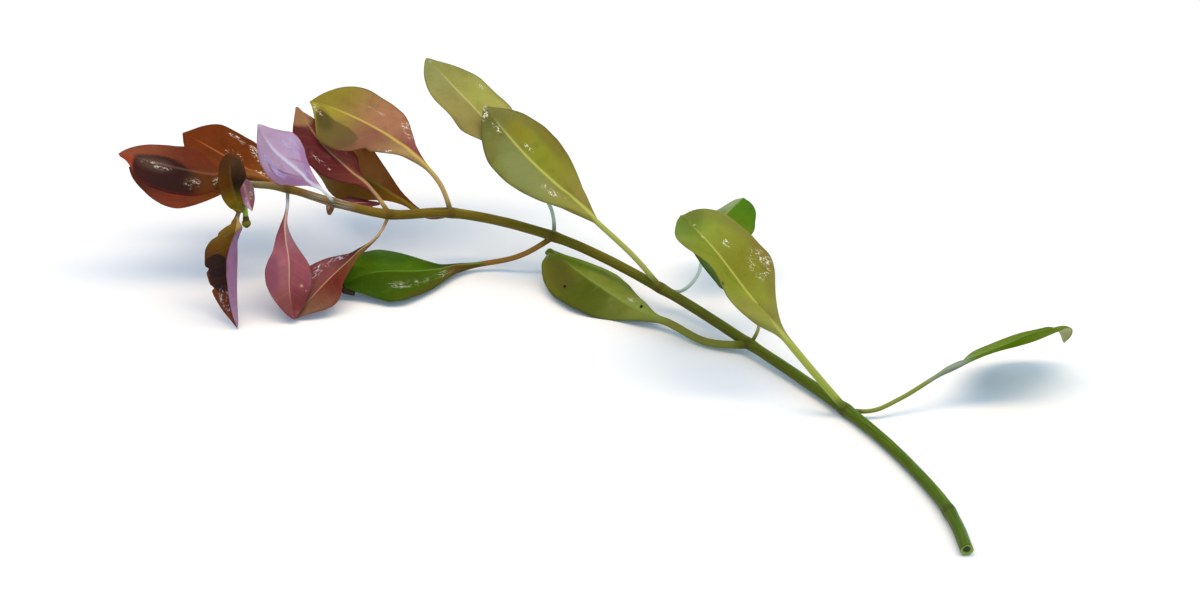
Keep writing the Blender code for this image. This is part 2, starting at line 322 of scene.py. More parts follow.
def stem_finish():
    """Green to brown skin with long fibres under it, browner at the rings, with painted shade darkening
    one side, and pale at the cut's rim. Round the seventh node a bluish-white painted highlight stands
    for its wet shine."""
    dark_fibre, pale_fibre, shaded_side_tone = (34, 40, 2), (150, 150, 40), (74, 62, 14)
    ring_brown, cut_rim, cut_middle = (62, 40, 14), (150, 165, 70), (56, 66, 44)
    painted_shine_start, painted_shine_end, painted_glint_colour = (150, 153), (162, 158), (0.6, 0.68, 0.8, 1)
    finish = Finish("stem_skin")
    turn, length, ring = finish.parts(finish.attribute("stem_place", finish.VECTOR))
    fibre_place = finish.node("ShaderNodeCombineXYZ", {}, {0: turn * 2.5, 1: length * 0.06})
    fibres = finish.soft_noise(fibre_place, 3.0, 4.0)
    colour = finish.ramp(length * (1 / stem_route.length), STEM_COLOURS)
    colour = finish.paint(colour, dark_fibre, finish.step(fibres, 0.5, 0.75) * 0.6)
    colour = finish.paint(colour, pale_fibre, finish.step(fibres, 0.5, 0.3) * 0.3)
    # Painted shade: the stem's left side, as it runs from the cut end to the tip, is painted darker and
    # browner.
    facing = finish.node("ShaderNodeMath", {"operation": "COSINE"}, {0: turn})
    colour = finish.paint(colour, shaded_side_tone, finish.step(facing + fibres * 0.5, 0.1, -0.7) * 0.4)
    colour = finish.paint(colour, ring_brown, finish.step(ring + finish.grain(0.8) * 0.4, 0.7, 1.2) * 0.4)
    colour = finish.paint(colour, cut_rim, finish.step(length, 0.05, -0.05))
    colour = finish.paint(colour, cut_middle, finish.step(length + finish.grain(0.5) * 0.3, -0.1, -0.4))
    # Painted highlight: round the seventh node, where the fibres run light, the colour is mixed towards
    # bluish white for the wet stem's shine.
    painted_glint_mask = finish.step(length, *painted_shine_start) * finish.step(length, *painted_shine_end) * finish.step(fibres, 0.52, 0.6)
    colour = finish.mix(colour, painted_glint_colour, painted_glint_mask * 0.35)
    normal = finish.bent(fibres + finish.grain(1.2) * 0.5, 0.08)
    return finish.done(finish.skin(colour, 0.35, normal, 0.1))


def take_place(piece, node, finish):
    """The finished piece, with its finish as its only material, stands for its CAD node, which is hidden."""
    piece.data.materials.clear()
    piece.data.materials.append(finish)
    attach(piece, "root")
    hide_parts(node)


stem_route = Route([centre for _, centre, _ in STEM])
take_place(make_stem(stem_route), "stem", stem_finish())


# The first leaf pair, at the lowest leafy node: one leaf stands on its petiole and leans left over
# the next pair, the other lies to the right with its tip curled under. Each is a flat sheet that is
# bent along its midrib, then thickened: thin at the edge, thicker at the rib, round at the petiole.
def stem_colour(node):
    """The stem's colour at a node, which the foot of a petiole shares."""
    at = stem_route.knot_lengths[STEM_NAMES.index(node)] / stem_route.length
    channels = [[(position, colour[i]) for position, colour in STEM_COLOURS] for i in range(3)]
    return [read(channel, at) for channel in channels]


def leaf_start(node, petiole_radius, first):
    """Where a petiole leaves the stem's skin, and the next point of its way, just outside it."""
    reach_out, reach_ahead, gap = 1.35, 1.1, 0.35
    index = STEM_NAMES.index(node)
    centre, radius = Vector(STEM[index][1]), STEM[index][2]
    along = stem_route.direction(stem_route.knot_lengths[index])
    towards = Vector(first) - centre
    out = (towards - towards.dot(along) * along).normalized()
    start = centre + out * (radius * (1 if node in PLAIN_PLACES else 1 + NODE_SWELLING) + gap)
    ahead = (Vector(first) - start).normalized()
    return [start, start + petiole_radius * (reach_out * out + reach_ahead * ahead)]


def make_leaf(name, node, route, petiole, blade, fullness, roll, fold, notches=(),
              trims=(((0, 1), (1, 1)), ((0, 1), (1, 1))), wave=(0.35, 2.3, 0.0), flare=0.1):
    """A leaf along its midrib. x runs from 0 at the blade's base to 1 at its tip, and across from -1 at
    its left edge to 1 at its right. petiole is its radius and length, and blade its width and the x
    where it is widest. fullness is that of the tip half and of the base half. roll turns the blade at
    its base, middle and tip, and fold lifts the right and left half. trims scale the right and left
    edge as (x, scale) pairs, and notches are (x, side, depth, width) cuts in them. wave is the edges'
    height, count and phase, and flare widens the petiole's foot."""
    columns, petiole_rows, blade_rows = 26, 22, 84
    rib, sheet, edge, thinnest = 0.24, 0.12, 0.05, 0.03  # half thicknesses
    rib_reach, narrowest, flat_from = 0.5, 0.1, 0.3
    crown, bumps, raggedness = 0.03, 0.5, 0.025
    edge_shift, flare_fades = 2.1, (0.8, 3.5)
    full_size = 13  # a narrower blade has smaller waves
    radius, petiole_length = petiole
    width, widest = blade
    tip_fullness, base_fullness = fullness
    height, count, phase = wave
    thickest = max(radius * 1.5, rib)

    # The CAD leaf's way starts at the stem's skin and gives the blade's length. This one starts at the
    # stem's centre line, so that its foot is well inside.
    whole = Route(leaf_start(node, radius, route[0]) + [Vector(p) for p in route])
    blade_length = whole.length - petiole_length
    line = Route([STEM[STEM_NAMES.index(node)][1]] + list(route))
    petiole_length = line.length - blade_length

    wave_share = min(1.0, width / full_size)
    leaf = new_sheet(name + "_fine", columns, petiole_rows + blade_rows)
    thickness = leaf.vertex_groups.new(name="thickness")
    seed = sum(ord(letter) * (i + 1) for i, letter in enumerate(name)) % 97
    petiole_share = petiole_rows / (petiole_rows + blade_rows)
    places = []
    for vertex in leaf.data.vertices:
        across, along = 2 * vertex.co.x, vertex.co.y + 0.5
        out, sign = abs(across), 1 if across > 0 else -1
        if along < petiole_share:
            length = petiole_length * along / petiole_share
        else:
            even = (along - petiole_share) / (1 - petiole_share)
            length = petiole_length + blade_length * (even + (1 - math.cos(math.pi * even)) / 2) / 2
        x = (length - petiole_length) / blade_length
        on = max(x, 0.0)
        spread = smooth(x, 0.0, flat_from)  # 0 on the round petiole, 1 on the flat blade

        # Half the width there, on this side of the midrib.
        if on < widest:
            widening = math.sin(math.pi / 2 * on / widest) ** base_fullness
        else:
            widening = max(1 - ((on - widest) / (1 - widest)) ** 2, 0.0) ** tip_fullness
        trim = read(trims[0 if across > 0 else 1], on)
        for notch_x, notch_side, depth, notch_width in notches:
            if across * notch_side > 0:
                trim *= 1 - depth * math.exp(-((on - notch_x) / notch_width) ** 2)
        ragged = 1 + raggedness * noise.noise(Vector((on * 9, seed, 3 if across > 0 else 7)))
        half = radius * (1 - on**4) + (width / 2 * trim * ragged - radius) * widening
        half = max(half, narrowest)
        half *= 1 + flare * (1 - smooth(length, *flare_fades))

        # Its place: out from the midrib on the rolled and folded blade, then up by waves and bumps.
        centre, ahead = line.at(length), line.direction(length)
        level = (Vector((0, 0, 1)) - ahead.z * ahead).normalized()
        turned = roll[0] + (roll[1] - roll[0]) * smooth(on, 0, 0.5) + (roll[2] - roll[1]) * smooth(on, 0.5, 1)
        normal = Matrix.Rotation(math.radians(turned), 3, ahead) @ level
        side = ahead.cross(normal)
        lift = math.radians((fold[0] if across > 0 else fold[1]) * spread)
        point = centre + half * out * (sign * math.cos(lift) * side + math.sin(lift) * normal)
        turn = 2 * math.pi * count * on + phase + (edge_shift if sign > 0 else 0)
        rise = height * spread * out**2 * math.sin(turn)
        rise += bumps * spread * out * noise.noise(Vector((on * 4, across * 1.5, seed)))
        rise += crown * half * spread * 4 * (out - out**2)
        point += wave_share * rise * min(1.0, half / 1.5) * normal

        # Half its thickness: round on the petiole, and on the blade thin but for the rib.
        round_half = half * math.sqrt(max(1 - across**2, 0.0))
        flat_half = edge + (sheet - edge) * smooth(1 - out, 0, 0.3)
        flat_half += (rib - sheet) * math.exp(-(out * half / rib_reach) ** 2)
        thick = round_half + (flat_half * min(1.0, half / 0.8) - round_half) * spread
        thick = max(thick, thinnest)
        thickness.add([vertex.index], thick / thickest, "REPLACE")

        point.z = max(point.z, thick + LOWEST)
        places.extend((across, x, half))
        vertex.co = (point + TO_ORIGIN) * MM
    leaf.data.attributes.new("leaf_place", "FLOAT_VECTOR", "POINT").data.foreach_set("vector", places)
    thicken(leaf, thickest * 2)
    return leaf, blade_length, petiole_length


def thicken(leaf, thickness):
    """Gives the sheet its thickness, and marks the faces of its underside."""
    for _ in range(2):
        leaf.data.materials.append(None)
    wall = leaf.modifiers.new("wall", "SOLIDIFY")
    wall.thickness = thickness * MM
    wall.offset = 0.0
    wall.vertex_group = "thickness"
    wall.material_offset = 1
    bpy.ops.object.modifier_apply(modifier=wall.name)
    leaf.vertex_groups.clear()
    under = leaf.data.attributes.new("underside", "FLOAT", "FACE")
    for face in leaf.data.polygons:
        under.data[face.index].value = float(face.material_index)
        face.material_index = 0
    bpy.ops.object.shade_smooth()


def leaf_finish(name, blade_length, petiole_length, foot, right, left, under, rib, petiole, edge,
                rib_width=0.45, rib_share=0.8, edge_share=0.4, veins=0.07, mottle=(0.2, 0.2),
                through=0.35, glow=None, roughness=0.5, gloss=0.06, slim=1.4,
                painted_glint_colour=(255, 250, 228), glint_strength=0.8, patches=(), spots=(), glint_places=()):
    """A thin wet blade. foot is the stem's colour where it grows. right, left and under are its colours
    near the base, in the middle and near the tip, on the upper side's two halves and on the underside.
    rib, petiole and edge are single colours, with the rib's half width in mm and the strengths of the
    rib, the edge and the veins, and mottle is how much darker and paler it gets in places. through is
    how much light comes through, and glow that light's colour. patches are (x, across, half length,
    half width, turn, colour, share, softness), and some of them are painted shade or painted sheen.
    spots are (x, across, size, colour). The wet glints lie in ovals given as (x, across, half length,
    half width); slim is how far their strokes follow the midrib, and they are glossy, with their colour
    painted towards a highlight colour, at the strength given."""
    vein_gap, vein_slope, vein_bend = 2.3, 0.75, 0.03
    patch_outline = 1.24  # 1, and the middle of the noise that is added
    spot_outline, glint_outline = (1.55, 1.15), (1.4, 0.9)
    dead_brown = (58, 46, 34)
    finish = Finish(name + "_skin")
    across, x, half = finish.parts(finish.attribute("leaf_place", finish.VECTOR))
    beneath = finish.attribute("underside", finish.NUMBER)
    out = abs(across)
    out_mm = out * half
    fine, broad = finish.grain(0.5), finish.grain(3.0)

    def along(colours):
        return finish.ramp(x, list(zip((0.1, 0.5, 0.9), colours)))

    def away_from(place_x, place_across, half_length, half_width, turn):
        """0 in the middle of an oval on the blade and 1 at its outline."""
        long, wide = (x - place_x) * blade_length, (across - place_across) * half
        c, s = math.cos(math.radians(turn)), math.sin(math.radians(turn))
        there = finish.node("ShaderNodeCombineXYZ", {}, {0: (long * c + wide * s) * (1 / half_length),
                                                         1: (wide * c - long * s) * (1 / half_width)})
        return finish.node("ShaderNodeVectorMath", {"operation": "LENGTH"}, {0: there}, output=1)

    # The two halves and the underside, darker and paler in places.
    colour = finish.mix(along(right), along(left), finish.step(across + broad * 0.2, 0.2, 0.0))
    colour = finish.mix(colour, along(under), beneath)
    darker, paler = [c * 0.45 for c in right[1]], [c + (255 - c) * 0.3 for c in right[1]]
    mottling = broad + fine * 0.25
    colour = finish.paint(colour, darker, finish.step(mottling, 0.6, 0.85) * mottle[0])
    colour = finish.paint(colour, paler, finish.step(mottling, 0.55, 0.35) * mottle[1])

    # Side veins that curve towards the tip, then patches, the edge, the midrib and the petiole.
    way = x * blade_length - out_mm * vein_slope + out_mm * out_mm * vein_bend + broad * 0.8
    near = finish.node("ShaderNodeMath", {"operation": "PINGPONG"}, {0: way * (1 / vein_gap), 1: 0.5})
    vein = finish.step(near, 0.1, 0.0) * finish.step(out, 1.0, 0.6) * finish.step(x, 0.02, 0.15)
    colour = finish.paint(colour, rib, vein * veins)
    for place_x, place_across, half_length, half_width, turn, tone, share, softness in patches:
        away = away_from(place_x, place_across, half_length, half_width, turn) + (broad + fine * 0.2) * 0.4
        shown = finish.step(away, patch_outline + softness, patch_outline - softness)
        colour = finish.paint(colour, tone, shown * share)
    colour = finish.paint(colour, edge, finish.step(out + broad * 0.2, 0.95, 1.12) * edge_share)
    rib_line = finish.step(out_mm + x * 0.2, rib_width + 0.06, rib_width * 0.4) * finish.step(x, 0.95, 0.7)
    colour = finish.paint(colour, rib, rib_line * rib_share)
    stalk = finish.step(x + broad * 0.05, 0.06, -0.04)
    colour = finish.paint(colour, petiole, stalk * 0.9)
    from_stem = x * blade_length + petiole_length
    colour = finish.paint(colour, [c * 0.8 for c in foot], finish.step(from_stem + broad, 4.2, 1.8) * 0.75)
    for spot_x, spot_across, size, spot_colour in spots:
        away = away_from(spot_x, spot_across, size, size, 0) + fine * 0.8
        colour = finish.paint(colour, spot_colour, finish.step(away, *spot_outline))
    dead = finish.step(x, 1.05, 1.2)
    colour = finish.paint(colour, dead_brown, dead)

    # Light comes through the blade, less at the midrib and not at all where it is round or dead.
    lit = finish.node("ShaderNodeBsdfTranslucent", {}, {"Color": screen(glow or right[1])})
    normal = finish.bent(broad * 0.6 + fine * 0.1 - vein * 0.15, 0.25)
    shader = finish.skin(colour, roughness, normal, gloss)
    light_share = (1 - stalk) * (1 - rib_line * 0.5) * (1 - dead) * through
    shader = finish.node("ShaderNodeMixShader", {}, {0: light_share, 1: shader, 2: lit})
    if not glint_places:
        return finish.done(shader)

    # Where it is wet, strokes and dots are glossy, and their colour is painted towards a highlight colour: a
    # painted highlight on top of the real gloss.
    def glint_noise(size, detail):
        """Noise that follows the blade, longer along it than across."""
        there = finish.node("ShaderNodeCombineXYZ", {}, {0: x * (blade_length / (size * slim)),
                                                         1: across * half * (slim / size)})
        return finish.soft_noise(there, 1.0, detail)

    strokes = finish.step(abs(glint_noise(0.9, 3.0) - 0.5), 0.04, 0.012)
    strokes = strokes * finish.step(glint_noise(1.7, 1.0), 0.44, 0.56)
    dots = finish.step(glint_noise(0.32, 1.0), 0.63, 0.68) * finish.step(glint_noise(1.2, 2.0), 0.42, 0.55)
    painted_glint_mask = 0.0
    for glint_place in glint_places:
        painted_glint_mask = finish.step(away_from(*glint_place, 0) + broad * 0.5, *glint_outline) + painted_glint_mask
    rippled = finish.bent(finish.grain(0.8), 0.3)
    # Painted highlight: the glint's colour is mixed three quarters of the way to the highlight colour.
    glossy_glint_skin = finish.skin(finish.paint(colour, painted_glint_colour, 0.75), 0.15, rippled, 0.5)
    glint_share = painted_glint_mask * (strokes + dots) * glint_strength
    return finish.done(finish.node("ShaderNodeMixShader", {}, {0: glint_share, 1: shader, 2: glossy_glint_skin}))


def grow(name, node, route, shape, skin, shred=()):
    """One leaf, shaped and given its skin, in place of its CAD node."""
    leaf, blade_length, petiole_length = make_leaf(name, node, route, **shape)
    if shred:
        add_shred(leaf, shred)
    take_place(leaf, name, leaf_finish(name, blade_length, petiole_length, stem_colour(node), **skin))


grow("leaf_1_left", "node_1",
     [(38.5, -13, 8.5), (33.1, -8.5, 13.5), (28, -3.5, 17.5), (21.5, 4, 23), (17, 11.5, 24)],
     dict(petiole=(0.64, 15), blade=(16.5, 0.5), fullness=(1.1, 1.9), roll=(-35, 10, -25), fold=(35, 25),
          flare=0,
          trims=(((0, 0.7), (0.25, 0.88), (0.45, 0.88), (0.65, 0.9), (0.8, 0.95), (1, 1)),
                 ((0, 1), (1, 1)))),
     dict(right=[(174, 186, 74), (152, 151, 48), (182, 202, 81)],
          left=[(191, 209, 83), (149, 155, 45), (133, 158, 65)],
          under=[(150, 140, 90), (146, 138, 92), (140, 135, 95)],
          rib=(190, 192, 96), rib_width=0.5, petiole=(148, 154, 64), edge=(140, 112, 76), edge_share=0.3,
          # The first patch is painted shade: the grey-green at the tip where leaf_2_back lies behind it.
          patches=[(0.93, -0.35, 4.5, 5.5, 0, (84, 118, 40), 0.35, 0.3),
                   (0.15, -0.6, 6, 3.5, 0, (136, 108, 70), 0.5, 0.4),
                   (0.4, 0.95, 8, 1.8, 0, (138, 112, 68), 0.45, 0.5),
                   (0.85, 0.9, 6, 2, 0, (128, 106, 66), 0.4, 0.5)],
          spots=[(0.42, -0.93, 0.35, (112, 84, 40))],
          glint_places=[(0.44, 0.7, 3.2, 2), (0.64, 0.35, 1, 0.6), (0.86, 0.15, 0.5, 0.5),
                  (0.75, -0.05, 2, 0.25)]))
grow("leaf_1_right", "node_1",
     [(49.5, -15.8, 1.5), (54, -14.4, 2.9), (63, -10.8, 6.9), (71.5, -6, 7.6), (79, -2.6, 8.9),
      (82.5, -1.1, 8.4), (83.7, -1.4, 6.1)],
     dict(petiole=(0.38, 14.5), blade=(14.5, 0.55), fullness=(0.6, 2.8), roll=(-32, -25, -20),
          fold=(10, -8), wave=(0.15, 2.3, 0),
          trims=(((0, 1), (1, 1)), ((0, 0.2), (0.35, 1), (1, 1)))),
     dict(right=[(110, 136, 50), (84, 118, 14), (120, 138, 50)],
          left=[(190, 208, 150), (128, 152, 60), (100, 132, 30)],
          under=[(50, 54, 9), (116, 118, 84), (228, 225, 166)],
          rib=(140, 158, 80), petiole=(130, 136, 62), edge=(120, 116, 30), gloss=0,
          # The pale bluish patch at the blade's base is a painted sheen, a reflection of the bright
          # surroundings.
          patches=[(0.12, 0.0, 4, 4, 0, (190, 204, 196), 0.55, 0.5)]))


# The second pair: one leaf lies along the surface in front, dark green with a purplish cast and
# small black dots, and the other leans back behind the first pair's raised leaf.
grow("leaf_2_front", "node_2",
     [(22, 6.5, 1), (15, 11.5, 2), (12, 13.5, 2), (1, 23, 4), (-6.5, 33, 4.5)],
     dict(petiole=(0.7, 17.5), blade=(13.5, 0.6), fullness=(0.7, 1.6), roll=(-30, -10, 5),
          fold=(-22, -20),
          notches=[(0.95, -1, 0.3, 0.02)]),
     dict(right=[(146, 157, 79), (147, 161, 62), (130, 147, 8)],
          left=[(146, 152, 68), (94, 104, 30), (138, 140, 44)],
          under=[(108, 92, 80), (106, 90, 79), (104, 88, 78)],
          rib=(132, 150, 68), petiole=(118, 118, 50), edge=(88, 66, 44), roughness=0.6, gloss=0.02,
          glint_strength=0.6,
          patches=[(0.75, -0.5, 4.5, 2.4, 0, (84, 62, 42), 0.45, 0.5)],
          spots=[(0.15, 0.2, 0.35, (20, 16, 10)), (0.66, -0.6, 0.3, (24, 20, 12))],
          glint_places=[(0.94, -0.3, 1.1, 1.6), (0.25, 0.35, 1.2, 0.6)]))
grow("leaf_2_back", "node_2",
     [(31, 5.5, 5.5), (29, 6.5, 9), (24, 10.5, 14), (18.5, 19.5, 17.5)],
     dict(petiole=(0.32, 8), blade=(14, 0.3), fullness=(0.7, 3), roll=(-5, 5, -15), fold=(20, 30)),
     dict(right=[(104, 126, 50), (94, 122, 42), (96, 116, 50)],
          left=[(104, 126, 50), (90, 120, 44), (96, 116, 50)],
          under=[(110, 118, 80), (109, 115, 80), (108, 112, 80)],
          rib=(140, 152, 80), petiole=(166, 166, 96), edge=(72, 92, 36)))


# The third pair: a long olive leaf that stands and leans left, with a bright midrib, and a green one
# behind the stem that shows beside the first pair.
grow("leaf_3_front", "node_3",
     [(9.5, 21, 9.5), (2.5, 25.5, 14.5), (-3.5, 30.5, 18), (-10, 36.5, 21.5), (-18.5, 47, 27)],
     dict(petiole=(0.5, 16.5), blade=(13, 0.6), fullness=(1.1, 1.2), roll=(-15, -25, -30), fold=(5, 5)),
     dict(right=[(156, 141, 69), (153, 155, 46), (139, 134, 70)],
          left=[(163, 158, 74), (148, 150, 75), (123, 124, 62)],
          under=[(136, 130, 92), (130, 120, 90), (122, 108, 88)],
          rib=(190, 194, 92), petiole=(156, 156, 80), edge=(108, 82, 54),
          # The first patch, pale grey-green on the left half, is a painted sheen.
          patches=[(0.5, -0.45, 7, 2.4, 10, (146, 156, 104), 0.5, 0.5),
                   (0.55, 0.85, 6, 1.4, 0, (122, 96, 52), 0.5, 0.5),
                   (0.72, 0.35, 3, 1.6, 0, (166, 150, 34), 0.5, 0.5)],
          glint_places=[(0.85, -0.15, 2.2, 0.6), (0.95, -0.7, 1.6, 1), (0.3, -0.4, 3, 0.7),
                  (0.6, 0.2, 1.5, 0.5)]))
grow("leaf_3_back", "node_3",
     [(17.6, 18.4, 4.3), (20.4, 19.3, 6.7), (21.6, 21.4, 9.8), (23.3, 26, 12.1), (29.5, 36, 13.5)],
     dict(petiole=(0.34, 10.5), blade=(13, 0.5), fullness=(0.6, 2), roll=(0, -5, -10), fold=(-15, -20)),
     dict(right=[(110, 140, 56), (106, 138, 24), (84, 130, 14)],
          # The pale colour at the tip of the left half is a painted highlight.
          left=[(60, 100, 36), (84, 126, 44), (167, 184, 126)],
          under=[(112, 122, 84), (111, 120, 83), (110, 118, 82)],
          rib=(146, 164, 88), petiole=(186, 204, 192), edge=(84, 104, 42)))


# The fourth pair: a bright green leaf that sinks to the surface, with a brown foot and a dead shred
# curled at its tip, and a pale yellow-olive one that reaches highest of all behind the third pair.
def add_shred(leaf, points):
    """A dead shred of the blade, curled up along its length and joined to it. Its x lies past the tip,
    where the leaf's finish is dead brown."""
    radius, curled, wall, past_tip = 0.6, 1.9, 0.16, 1.4
    unevenness, taper_length = 0.15, 0.9
    line = Route(points)
    shred = new_sheet("shred", 10, 16)
    shred.vertex_groups.new(name="thickness").add(range(len(shred.data.vertices)), 1.0, "REPLACE")
    places = []
    for vertex in shred.data.vertices:
        turn, length = curled * 2 * vertex.co.x, line.length * (vertex.co.y + 0.5)
        side, up = square_to(line.direction(length))
        uneven = 1 + unevenness * noise.noise(Vector((turn, length * 1.5, 5)))
        reach = radius * (0.5 + 0.5 * smooth(length, 0, taper_length)) * uneven
        out = math.sin(turn) * side + math.cos(turn) * up
        vertex.co = (line.at(length) + TO_ORIGIN + reach * out) * MM
        places.extend((0.4, past_tip, radius))
    shred.data.attributes.new("leaf_place", "FLOAT_VECTOR", "POINT").data.foreach_set("vector", places)
    thicken(shred, wall)
    bpy.ops.object.select_all(action="DESELECT")
    shred.select_set(True)
    leaf.select_set(True)
    bpy.context.view_layer.objects.active = leaf
    bpy.ops.object.join()


grow("leaf_4_front", "node_4",
     [(-12, 32, 3.5), (-19, 32.5, 1.5), (-29.5, 29, 2), (-39.5, 26, 3.2), (-44.1, 23.2, 2.3)],
     dict(petiole=(0.5, 14.5), blade=(13, 0.7), fullness=(0.72, 2.2), roll=(-15, -25, -30),
          fold=(-20, 14),
          trims=(((0, 1), (0.35, 0.95), (0.62, 1.18), (0.78, 1.02), (0.9, 0.66), (1, 0.4)),
                 ((0, 1), (0.3, 1.28), (0.56, 1.28), (0.8, 1.15), (1, 1)))),
     dict(right=[(31, 18, 2), (87, 125, 2), (83, 119, 2)],
          left=[(91, 126, 7), (78, 102, 2), (57, 88, 2)],
          under=[(104, 110, 66), (102, 103, 66), (100, 96, 66)],
          rib=(110, 150, 50), rib_width=0.3, petiole=(142, 96, 44), edge=(70, 92, 16), slim=1.8,
          glint_strength=0.45,
          patches=[(0.08, -0.4, 5, 2, 0, (112, 62, 38), 0.8, 0.4),
                   (0.38, -0.95, 6, 1, 0, (104, 78, 36), 0.6, 0.5)],
          spots=[(1.0, 0, 0.5, (62, 52, 40))],
          glint_places=[(0.55, -0.5, 4.6, 1.1), (0.3, -0.5, 2.5, 0.8)]),
     shred=[(-44.3, 23, 1.8), (-43.1, 22.7, 1.5), (-41.7, 22.6, 1.25)])
grow("leaf_4_back", "node_4",
     [(-5.5, 32.5, 11), (-6, 34, 12.5), (-11.5, 38.5, 19), (-18.5, 47, 24), (-23.5, 50.5, 28),
      (-29.5, 56.5, 32)],
     dict(petiole=(0.35, 14.5), blade=(15.2, 0.5), fullness=(0.85, 2), roll=(-5, 0, 5), fold=(0, 10),
          wave=(0.12, 2.3, 0)),
     dict(right=[(156, 152, 76), (181, 178, 89), (152, 149, 81)],
          left=[(150, 130, 78), (168, 152, 85), (155, 158, 95)],
          under=[(150, 146, 104), (147, 141, 102), (144, 136, 100)],
          rib=(186, 190, 112), petiole=(176, 196, 176), edge=(134, 116, 72),
          glint_places=[(0.62, 0.7, 1.3, 0.8), (0.98, 0, 1, 1), (0.25, -0.3, 1.5, 0.8)]))


# The fifth pair: a broad leaf that turns from yellow-olive to terracotta, with a bright yellow midrib
# and a painted dark patch, the shade of the leaf behind it, and under it a dark bronze one that
# crosses behind the stem.
grow("leaf_5_front", "node_5",
     [(-26.5, 35, 17.5), (-30.5, 36, 22), (-38.5, 44.5, 23.5), (-48.5, 49, 26), (-51, 49.5, 26.5)],
     dict(petiole=(0.45, 8.5), blade=(16, 0.75), fullness=(1.1, 1.8), roll=(-25, -25, -20),
          fold=(-10, 10),
          trims=(((0, 1), (1, 1)), ((0, 1), (0.35, 1), (0.55, 1.14), (0.8, 1.1), (1, 1))),
          notches=[(0.44, -1, 0.16, 0.03), (0.9, -1, 0.06, 0.03)]),
     dict(right=[(144, 78, 82), (188, 134, 99), (148, 140, 47)],
          left=[(193, 164, 103), (155, 104, 81), (176, 166, 54)],
          under=[(150, 96, 84), (145, 106, 84), (140, 116, 84)],
          rib=(210, 184, 84), petiole=(184, 150, 92), edge=(142, 100, 58),
          # All three patches are painted shade, where leaf_6_upper lies behind this leaf.
          patches=[(0.73, -0.66, 5.4, 3, 4, (106, 92, 52), 0.8, 0.08),
                   (0.85, -0.55, 2.4, 2, 0, (70, 66, 30), 0.6, 0.5),
                   (0.6, -0.8, 2.6, 1.2, 0, (120, 92, 58), 0.6, 0.2)],
          glint_places=[(0.93, -0.45, 1.8, 0.9), (0.36, 0.8, 3.2, 0.9), (0.6, 0.5, 2, 0.4),
                  (0.3, -0.85, 1.6, 0.5)]))
grow("leaf_5_back", "node_5",
     [(-28.5, 35.5, 10), (-33.5, 38, 12), (-39.5, 42, 14), (-50, 51, 15.5), (-55, 54.5, 15.5)],
     dict(petiole=(0.55, 6), blade=(13.5, 0.6), fullness=(0.8, 2.6), roll=(-50, -60, -85), fold=(5, -5)),
     dict(right=[(111, 60, 18), (180, 121, 56), (88, 68, 20)],
          left=[(146, 106, 15), (119, 86, 25), (96, 90, 24)],
          under=[(110, 64, 50), (107, 63, 50), (104, 62, 50)],
          rib=(146, 122, 44), petiole=(138, 72, 50), edge=(84, 50, 22)))


# The sixth pair: a leaf that leans back, painted maroon for the shade of the leaf behind it and
# paler tan at its tip, where light comes through, and a dusky pink one that hangs down to the surface
# with a tan midrib.
grow("leaf_6_upper", "node_6",
     [(-38.5, 36, 14.5), (-44, 39, 18.5), (-48.5, 41.5, 22), (-53, 45.5, 27.5)],
     dict(petiole=(0.42, 3.5), blade=(13, 0.5), fullness=(0.7, 3.4), roll=(0, 5, 25), fold=(-10, -5)),
     # Painted shade: the maroon of its blade stands for the shade of leaf_5_back behind it.
     dict(right=[(112, 50, 40), (194, 101, 85), (121, 62, 53)],
          left=[(136, 72, 58), (93, 38, 40), (100, 48, 44)],
          under=[(130, 76, 80), (138, 88, 85), (146, 100, 90)],
          rib=(190, 160, 112), rib_width=0.5, petiole=(176, 140, 96), edge=(92, 42, 36), glint_strength=0.5,
          # Painted light: the tan patch at the tip is the colour where light comes through with no leaf
          # behind.
          patches=[(1.0, 0.0, 4, 6, 0, (176, 132, 86), 0.9, 0.12)],
          glint_places=[(0.5, 0.6, 1.4, 0.6), (0.5, -0.6, 2.5, 0.5)]))
grow("leaf_6_hanging", "node_6",
     [(-37.5, 28.5, 10), (-41.5, 26.5, 7), (-46.5, 23.4, 3.4), (-52.3, 15.2, 0.3)],
     dict(petiole=(0.28, 3.5), blade=(11.5, 0.7), fullness=(1.1, 2.6), roll=(-10, -10, -10),
          fold=(15, 20)),
     dict(right=[(48, 19, 8), (150, 84, 80), (146, 90, 68)],
          left=[(123, 108, 47), (134, 56, 42), (151, 108, 82)],
          under=[(150, 100, 110), (150, 100, 103), (150, 100, 96)],
          rib=(206, 168, 126), rib_width=0.3, petiole=(186, 150, 112), edge=(128, 58, 50),
          painted_glint_colour=(214, 222, 255), glint_strength=1,
          glint_places=[(0.55, 0.6, 2.6, 1.1), (0.35, 0.7, 2, 0.5)]))


